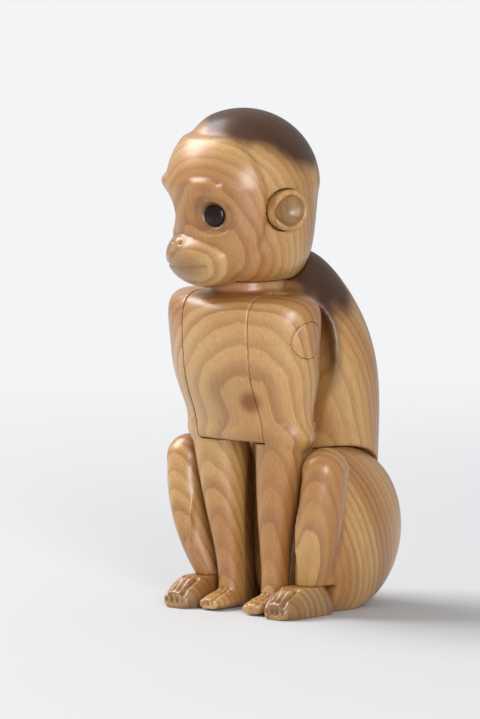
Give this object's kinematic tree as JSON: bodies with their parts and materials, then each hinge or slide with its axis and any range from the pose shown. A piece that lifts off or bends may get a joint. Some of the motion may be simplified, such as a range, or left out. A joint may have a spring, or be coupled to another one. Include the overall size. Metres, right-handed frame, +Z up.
{
  "type": "monkey figurine",
  "caption": "Carved wooden monkey seated on its haunches with hands and feet on the ground, whose head turns on a dowel and whose arms swing on shoulder pegs.",
  "frame": {"origin": "on the floor under the middle of the figure's box", "axes": "+Z up, the monkey faces -Y, its left side is +X"},
  "size_m": [0.0684, 0.072, 0.152],
  "materials": {
    "body_wood": "satin lacquer",
    "eye_wood": "polished dark stain",
    "dowel_wood": "plain turned",
    "washer_leather": "plain",
    "ring_rubber": "matte"
  },
  "bodies": {
    "torso": {"torso": "body_wood", "left_leg": "body_wood", "right_leg": "body_wood", "left_foot": "body_wood", "right_foot": "body_wood", "hip_dowels": "dowel_wood", "ankle_dowels": "dowel_wood", "left_shoulder_peg": "dowel_wood", "right_shoulder_peg": "dowel_wood", "left_shoulder_washer": "washer_leather", "right_shoulder_washer": "washer_leather", "neck_washer": "washer_leather"},
    "head": {"head": "body_wood", "left_ear": "body_wood", "right_ear": "body_wood", "left_eye": "eye_wood", "right_eye": "eye_wood", "neck_dowel": "dowel_wood", "neck_ring": "ring_rubber"},
    "left_arm": {"left_arm": "body_wood", "left_shoulder_plug": "body_wood"},
    "right_arm": {"right_arm": "body_wood", "right_shoulder_plug": "body_wood"}
  },
  "joints": [
    {"name": "head_turn", "type": "hinge", "parent": "torso", "child": "head", "pos_m": [0, -0.01, 0.1007], "axis": [0, 0, 1], "range_deg": [-34, 66]},
    {"name": "left_arm_swing", "type": "hinge", "parent": "torso", "child": "left_arm", "pos_m": [0, -0.0125, 0.084], "axis": [-1, 0, 0], "range_deg": [0, 85]},
    {"name": "right_arm_swing", "type": "hinge", "parent": "torso", "child": "right_arm", "pos_m": [0, -0.0125, 0.084], "axis": [-1, 0, 0], "range_deg": [0, 85]}
  ]
}
